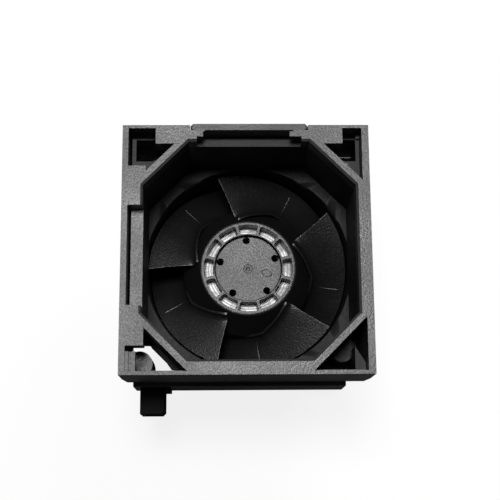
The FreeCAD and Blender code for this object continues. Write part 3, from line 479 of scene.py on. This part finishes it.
def make_blade():
    """One swept blade with a rounded nose and a flared root."""
    along, out = 56, 30
    shares = [(1 - math.cos(math.pi * i / along)) / 2 for i in range(along + 1)]
    acrosses = [(i / out) ** 1.6 for i in range(out + 1)]
    loop = [(share, 1) for share in shares] + [(share, -1) for share in shares[-2:0:-1]]
    size = len(loop)
    points = [blade_point(share, across, side) for across in acrosses for share, side in loop]
    faces = wall_faces(out, size)
    for base in (0, out * size):
        for i in range(along):
            faces.append((base + i, base + i + 1,
                          base + (size - i - 1) % size, base + (size - i) % size))
    return solid("blade", points, faces)


def make_mould_line():
    """Low ridge that the mould's joint leaves across the top of a blade."""
    rows, size = MOULD_LINE_ROWS, len(MOULD_LINE_SECTION)
    points = []
    for i in range(rows + 1):
        across = 0.04 + 0.78 * i / rows
        for offset, rise in MOULD_LINE_SECTION:
            point = blade_point(MOULD_LINE_SHARE + offset, across, 1)
            points.append(point + Vector((0, 0, rise)) * MM)
    ends = [tuple(range(size)), tuple(range(size * rows, size * rows + size))]
    return solid("mould_line", points, wall_faces(rows, size) + ends)


def copies_round(piece):
    """The piece and its copies, one for each blade."""
    made = [piece]
    for k in range(1, BLADES):
        twin = add_object(f"{piece.name}_{k}", piece.data.copy())
        twin.rotation_euler = (0, 0, math.tau * k / BLADES)
        settle(twin)
        made.append(twin)
    return made


def make_gate_mark():
    """Oval mark left by the injection gate on the hub's centre disc."""
    turn = math.radians(GATE_TURN)
    points = []
    for radius_share, rise in GATE_SECTION:
        for i in range(GATE_STEPS):
            along = GATE_RADII[0] * radius_share * math.cos(math.tau * i / GATE_STEPS)
            over = GATE_RADII[1] * radius_share * math.sin(math.tau * i / GATE_STEPS)
            points.append(Vector((
                GATE_CENTRE[0] + along * math.cos(turn) - over * math.sin(turn),
                GATE_CENTRE[1] + along * math.sin(turn) + over * math.cos(turn),
                DISC_Z + rise)) * MM)
    cap = tuple(reversed(range(GATE_STEPS)))
    return solid("gate_mark", points, [cap] + wall_faces(len(GATE_SECTION) - 1, GATE_STEPS))


def make_impeller():
    """Whole impeller: hub, blades, mould lines and gate mark."""
    pieces = [make_hub()]
    pieces += copies_round(make_blade())
    pieces += copies_round(make_mould_line())
    pieces.append(make_gate_mark())
    impeller = join(pieces, "impeller_moulded")
    smooth_by_angle(impeller, 32)
    return impeller


def make_yoke():
    """Steel rotor cup behind the hub's windows, its vents turned to the hub's."""
    yoke = smooth_copy("rotor_yoke")
    yoke.rotation_euler = (0, 0, math.radians(VENT_TURN))
    settle(yoke)
    return yoke


# --- materials ---------------------------------------------------------------

WHITE = (1, 1, 1, 1)
RING_SCALE = 400.0
RING_RELIEF = 0.000004
LAYER_RELIEF = 0.00003


def feed(link, socket, value):
    """Link a socket to another one, or set it to a plain value."""
    if isinstance(value, bpy.types.NodeSocket):
        link(value, socket)
    else:
        socket.default_value = value


def computed(nodes, link, operation, first, second):
    """Result of a sum on two values."""
    node = nodes.new("ShaderNodeMath")
    node.operation = operation
    feed(link, node.inputs[0], first)
    feed(link, node.inputs[1], second)
    return node.outputs[0]


def blend(nodes, link, factor, first, second):
    """Colour between two colours."""
    tone = nodes.new("ShaderNodeMix")
    tone.data_type = "RGBA"
    tone.inputs["A"].default_value = (*first, 1)
    tone.inputs["B"].default_value = (*second, 1)
    link(factor, tone.inputs["Factor"])
    return tone.outputs["Result"]


def relief(nodes, link, height, distance):
    """Normal of a fine relief."""
    bump = nodes.new("ShaderNodeBump")
    feed(link, bump.inputs["Distance"], distance)
    link(height, bump.inputs["Height"])
    return bump.outputs["Normal"]


def object_place(nodes):
    """Coordinates that stay with the piece."""
    return nodes.new("ShaderNodeTexCoord").outputs["Object"]


def noise(nodes, link, place, scale, detail, roughness=0.5):
    """Value of a noise at a place."""
    texture = nodes.new("ShaderNodeTexNoise")
    texture.inputs["Detail"].default_value = detail
    texture.inputs["Roughness"].default_value = roughness
    link(place, texture.inputs["Vector"])
    link(scale, texture.inputs["Scale"])
    return texture.outputs["Fac"]


def new_material(name):
    """Material, its nodes, what links them, and its shader."""
    material = bpy.data.materials.new(name)
    material.use_nodes = True
    nodes = material.node_tree.nodes
    return material, nodes, material.node_tree.links.new, nodes["Principled BSDF"]


def grain_group():
    """Fine moulded grain with slow patches: gives a roughness, a tint mask and a normal."""
    group = bpy.data.node_groups.new("moulded_grain", "ShaderNodeTree")
    face = group.interface
    for name, default in (("Grain Scale", 3200.0), ("Grain Height", 0.00002),
                          ("Roughness", 0.45), ("Spread", 0.08), ("Patch Scale", 60.0)):
        socket = face.new_socket(name, in_out="INPUT", socket_type="NodeSocketFloat")
        socket.default_value = default
    face.new_socket("Roughness", in_out="OUTPUT", socket_type="NodeSocketFloat")
    face.new_socket("Tint", in_out="OUTPUT", socket_type="NodeSocketFloat")
    face.new_socket("Normal", in_out="OUTPUT", socket_type="NodeSocketVector")
    nodes, link = group.nodes, group.links.new
    start = nodes.new("NodeGroupInput")
    end = nodes.new("NodeGroupOutput")
    place = object_place(nodes)
    grain = noise(nodes, link, place, start.outputs["Grain Scale"], 3.0, 0.65)
    patch = noise(nodes, link, place, start.outputs["Patch Scale"], 4.0)
    both = computed(nodes, link, "ADD", grain, patch)
    centred = computed(nodes, link, "SUBTRACT", both, 1.0)
    spread = computed(nodes, link, "MULTIPLY", centred, start.outputs["Spread"])
    rough = computed(nodes, link, "ADD", start.outputs["Roughness"], spread)
    rough.node.use_clamp = True
    normal = relief(nodes, link, grain, start.outputs["Grain Height"])
    link(rough, end.inputs["Roughness"])
    link(patch, end.inputs["Tint"])
    link(normal, end.inputs["Normal"])
    return group


GRAIN = grain_group()


def moulded(name, dark, light, roughness, height, scale, spread=0.08, specular=0.5):
    """Moulded plastic: two close tones, fine grain and a satin surface."""
    material, nodes, link, shader = new_material(name)
    shader.inputs["Specular IOR Level"].default_value = specular
    grain = nodes.new("ShaderNodeGroup")
    grain.node_tree = GRAIN
    grain.inputs["Grain Scale"].default_value = scale
    grain.inputs["Grain Height"].default_value = height
    grain.inputs["Roughness"].default_value = roughness
    grain.inputs["Spread"].default_value = spread
    link(blend(nodes, link, grain.outputs["Tint"], dark, light), shader.inputs["Base Color"])
    link(grain.outputs["Roughness"], shader.inputs["Roughness"])
    link(grain.outputs["Normal"], shader.inputs["Normal"])
    return material


def turned_metal(name, colour, roughness):
    """Bright metal with fine turning rings about the fan axis."""
    material, nodes, link, shader = new_material(name)
    shader.inputs["Metallic"].default_value = 1.0
    shader.inputs["Base Color"].default_value = (*colour, 1)
    rings = nodes.new("ShaderNodeTexWave")
    rings.wave_type = "RINGS"
    rings.rings_direction = "Z"
    rings.inputs["Scale"].default_value = RING_SCALE
    rings.inputs["Distortion"].default_value = 1.5
    rings.inputs["Detail"].default_value = 2.0
    link(object_place(nodes), rings.inputs["Vector"])
    rough = nodes.new("ShaderNodeMapRange")
    rough.inputs["To Min"].default_value = roughness - 0.06
    rough.inputs["To Max"].default_value = roughness + 0.1
    link(rings.outputs["Fac"], rough.inputs["Value"])
    link(rough.outputs["Result"], shader.inputs["Roughness"])
    link(relief(nodes, link, rings.outputs["Fac"], RING_RELIEF), shader.inputs["Normal"])
    return material


def layered(name, colour, second, metallic, roughness, layer_scale):
    """Stacked or wound material: stripes across the fan axis."""
    material, nodes, link, shader = new_material(name)
    shader.inputs["Metallic"].default_value = metallic
    shader.inputs["Roughness"].default_value = roughness
    bands = nodes.new("ShaderNodeTexWave")
    bands.wave_type = "BANDS"
    bands.bands_direction = "Z"
    bands.inputs["Scale"].default_value = layer_scale
    link(object_place(nodes), bands.inputs["Vector"])
    link(blend(nodes, link, bands.outputs["Fac"], colour, second), shader.inputs["Base Color"])
    link(relief(nodes, link, bands.outputs["Fac"], LAYER_RELIEF), shader.inputs["Normal"])
    return material


def grey(level):
    """Neutral colour of one level."""
    return (level,) * 3


# Plastics: name, dark and light tone, roughness, grain height and grain scale, then
# where they differ from the usual the spread of roughness and the specular level.
# The duct, frame, rotor and connector plastics are darker copies of the shell's black plastic:
# their lower tones are painted shade for the recessed duct, fan frame and impeller, and for the
# plug.
PLASTICS = (
    ("shell_plastic", grey(0.010), grey(0.017), 0.40, 0.00012, 1500, 0.3, 0.5),
    ("duct_plastic", grey(0.003), grey(0.006), 0.5, 0.00008, 1500, 0.2, 0.2),
    ("handle_plastic", grey(0.010), grey(0.016), 0.42, 0.00012, 1500, 0.3, 0.38),
    ("frame_plastic", grey(0.004), grey(0.007), 0.5, 0.00008, 1300, 0.2, 0.12),
    ("rotor_plastic", grey(0.004), grey(0.007), 0.34, 0.0001, 1700, 0.25, 0.33),
    ("connector_plastic", grey(0.002), grey(0.004), 0.6, 0.00001, 2000, 0.08, 0.05),
    ("washer_rubber", grey(0.01), grey(0.018), 0.75, 0.000015, 1500),
    ("chip_black", grey(0.012), grey(0.02), 0.6, 0.000006, 5000),
    ("insulator_plastic", (0.55, 0.53, 0.46), (0.66, 0.64, 0.57), 0.5, 0.000006, 1200),
    ("board_green", (0.012, 0.09, 0.03), (0.02, 0.13, 0.045), 0.32, 0.000006, 900),
    ("magnet_bonded", (0.03, 0.027, 0.025), (0.06, 0.052, 0.048), 0.65, 0.00001, 2500),
)

# Turned metals: name, colour and roughness.
METALS = (
    ("yoke_steel", (0.27, 0.27, 0.275), 0.54),
    ("shaft_steel", (0.66, 0.66, 0.67), 0.25),
    ("bearing_steel", (0.7, 0.7, 0.72), 0.18),
    ("capacitor_can", (0.72, 0.72, 0.73), 0.3),
    ("sleeve_brass", (0.74, 0.55, 0.25), 0.28),
    ("contact_metal", (0.83, 0.66, 0.32), 0.25),
    ("screw_steel", (0.05, 0.05, 0.055), 0.38),
)

# Layered metals: name, two colours, metallic level, roughness and layer scale.
LAYERS = (
    ("core_steel", (0.36, 0.37, 0.39), (0.2, 0.21, 0.23), 1.0, 0.4, 320),
    ("coil_copper", (0.62, 0.24, 0.08), (0.42, 0.14, 0.04), 0.7, 0.32, 500),
)

MATERIALS = {row[0]: make(*row)
             for make, rows in ((moulded, PLASTICS), (turned_metal, METALS), (layered, LAYERS))
             for row in rows}


def paint_construction():
    """Every construction piece takes the finish of its slot."""
    for node, slot in SLOTS.items():
        NODES[node].data.materials.clear()
        NODES[node].data.materials.append(MATERIALS[slot])


# --- camera, light and floor -------------------------------------------------
# Places and sizes of the lights and the floor are in metres.

CAMERA_PLACE = (-5.76, -61.85, 331.83)
CAMERA_RIGHT = (0.9997, -0.0076, 0.0197)
CAMERA_LOOK = (0.0209, 0.2224, -0.9747)
CAMERA_LENS = 75.6
LIGHT_AIM = (0, 0, 0.05)
LIGHTS = (("key", (-0.055, 0.155, 0.94), 0.24, 9.0), ("edge", (0.28, 0.60, 0.62), 0.3, 3.5))
SURROUND = 0.05
FLOOR_SIZE = 8.0
FLOOR_BOUNCE = (0.06, 0.06, 0.06)
FLOOR_TONE = (0.8, 0.8, 0.8)
FLOOR_WHITE = 0.85
SHADOW_EDGE = (0.0292, 0.0302)
MIRRORED_FLOOR = (0.15, 0.6)
HORIZON = (0.25, 0.65)


def make_camera():
    """Camera nearly straight above the intake, a little to the plug side."""
    data = bpy.data.cameras.new("camera")
    data.lens = CAMERA_LENS
    data.sensor_width = 36.0
    data.clip_start = 0.01
    data.clip_end = 50.0
    camera = add_object("camera", data)
    right = Vector(CAMERA_RIGHT).normalized()
    look = Vector(CAMERA_LOOK).normalized()
    up = right.cross(look).normalized()
    right = look.cross(up).normalized()
    turn = Matrix((right, up, -look)).transposed()
    camera.matrix_world = Matrix.Translation(Vector(CAMERA_PLACE) * MM) @ turn.to_4x4()
    bpy.context.scene.camera = camera


def area_light(name, place, size, power):
    """Square soft light aimed at the module."""
    data = bpy.data.lights.new(name, "AREA")
    data.shape = "SQUARE"
    data.size = size
    data.energy = power
    light = add_object(name, data)
    light.location = place
    light.rotation_mode = "QUATERNION"
    light.rotation_quaternion = (Vector(LIGHT_AIM) - Vector(place)).to_track_quat("-Z", "Y")


def ramp(nodes, link, source, span, low=0.0, high=1.0):
    """Smooth change of a value over a span."""
    change = nodes.new("ShaderNodeMapRange")
    change.interpolation_type = "SMOOTHSTEP"
    change.inputs["From Min"].default_value = span[0]
    change.inputs["From Max"].default_value = span[1]
    change.inputs["To Min"].default_value = low
    change.inputs["To Max"].default_value = high
    link(source, change.inputs["Value"])
    return change.outputs["Result"]


def light_paths(nodes, link):
    """Factors that are one for the camera's rays, and for glossy and transmission rays."""
    path = nodes.new("ShaderNodeLightPath")
    mirror = computed(nodes, link, "MAXIMUM",
                      path.outputs["Is Glossy Ray"], path.outputs["Is Transmission Ray"])
    return path.outputs["Is Camera Ray"], mirror


def either(nodes, link, camera, share, mirror, weight):
    """The camera's share, or the weighted share of mirrored rays."""
    seen = computed(nodes, link, "MULTIPLY", camera, share)
    mirrored = computed(nodes, link, "MULTIPLY", mirror, weight)
    return computed(nodes, link, "MAXIMUM", seen, mirrored)


def mix_shaders(nodes, link, factor, first, second, surface):
    """Two shaders mixed into an output."""
    mixed = nodes.new("ShaderNodeMixShader")
    link(factor, mixed.inputs["Fac"])
    link(first, mixed.inputs[1])
    link(second, mixed.inputs[2])
    link(mixed.outputs["Shader"], surface)


def backdrop_material(name):
    """Pale table: white to the camera and in reflections, and it keeps the object's shadow."""
    material, nodes, link, shader = new_material(name)
    shader.inputs["Roughness"].default_value = 0.9
    shader.inputs["Specular IOR Level"].default_value = 0.1
    camera, mirror = light_paths(nodes, link)
    link(blend(nodes, link, camera, FLOOR_BOUNCE, FLOOR_TONE), shader.inputs["Base Color"])
    glow = nodes.new("ShaderNodeEmission")
    glow.inputs["Color"].default_value = WHITE
    reach = nodes.new("ShaderNodeVectorMath")
    reach.operation = "LENGTH"
    link(object_place(nodes), reach.inputs[0])
    far = ramp(nodes, link, reach.outputs["Value"], MIRRORED_FLOOR)
    open_floor = ramp(nodes, link, reach.outputs["Value"], SHADOW_EDGE, 0.0, FLOOR_WHITE)
    mix_shaders(nodes, link, either(nodes, link, camera, open_floor, mirror, far),
                shader.outputs["BSDF"], glow.outputs["Emission"],
                nodes["Material Output"].inputs["Surface"])
    return material


def make_floor():
    """Plain pale floor that the module stands on."""
    deselect_all()
    bpy.ops.mesh.primitive_plane_add(size=FLOOR_SIZE, location=(0, 0, 0))
    floor = bpy.context.object
    floor.name = "floor"
    floor.data.materials.append(backdrop_material("pale_floor"))


def make_world():
    """Dim even surround, white to the camera, and white round the horizon in reflections."""
    world = bpy.data.worlds.new("surround")
    bpy.context.scene.world = world
    world.use_nodes = True
    nodes, link = world.node_tree.nodes, world.node_tree.links.new
    white = nodes.new("ShaderNodeBackground")
    white.inputs["Color"].default_value = WHITE
    fill = nodes["Background"]
    fill.inputs["Color"].default_value = WHITE
    fill.inputs["Strength"].default_value = SURROUND
    camera, mirror = light_paths(nodes, link)
    place = nodes.new("ShaderNodeTexCoord")
    split = nodes.new("ShaderNodeSeparateXYZ")
    link(place.outputs["Generated"], split.inputs[0])
    horizon = ramp(nodes, link, split.outputs["Z"], HORIZON, 1.0, 0.0)
    mix_shaders(nodes, link, either(nodes, link, camera, 1.0, mirror, horizon),
                fill.outputs["Background"], white.outputs["Background"],
                nodes["World Output"].inputs["Surface"])


# --- build -------------------------------------------------------------------

paint_construction()
make_camera()
make_floor()
make_world()
for light in LIGHTS:
    area_light(*light)
bpy.context.scene.view_settings.view_transform = "Standard"

replace_with(make_bezel(), "intake_bezel", "housing")
for node in ("connector_bracket", "connector_housing"):
    replace_with(rounded_copy(node, EDGE_ROUND), node, "housing")
duct = make_duct()
dress(make_side_grip(duct), "shell_plastic", "housing")
replace_with(duct, "intake_duct", "housing")
replace_with(make_handle(), "pull_handle", "handle")
for node, body in (("fan_frame", "housing"), ("fan_screws", "housing"),
                   ("bracket_screw", "housing"), ("shaft", "rotor"), ("bearing_sleeve", "housing")):
    replace_with(smooth_copy(node), node, body)
replace_with(make_yoke(), "rotor_yoke", "rotor")
replace_with(make_impeller(), "impeller", "rotor")
